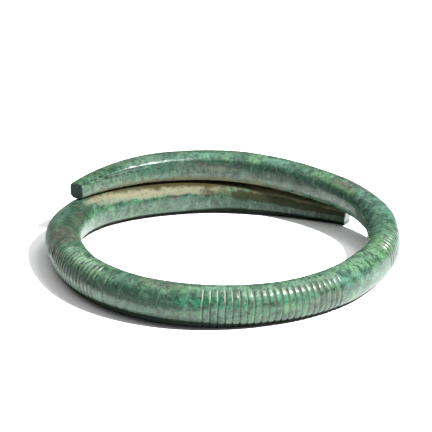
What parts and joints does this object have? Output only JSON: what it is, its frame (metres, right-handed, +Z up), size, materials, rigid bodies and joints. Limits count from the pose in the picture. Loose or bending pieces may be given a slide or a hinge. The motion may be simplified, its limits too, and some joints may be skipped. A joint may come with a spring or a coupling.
{
  "type": "spiral bracelet",
  "caption": "Patinated bronze arm ring bent to a spiral coil, with tapered ends and bands of lines cut across the bar.",
  "frame": {"origin": "on the ground under the middle of the coil's outline, seen from above", "axes": "+Z up along the coil's axis, +X to the right and +Y to the back of the picture; the ends overlap at +Y"},
  "size_m": [0.0728, 0.073, 0.0136],
  "materials": {
    "bronze_patina": "waxed green patina over cast bronze"
  },
  "bodies": {
    "root": {"bracelet": "bronze_patina"}
  },
  "joints": []
}
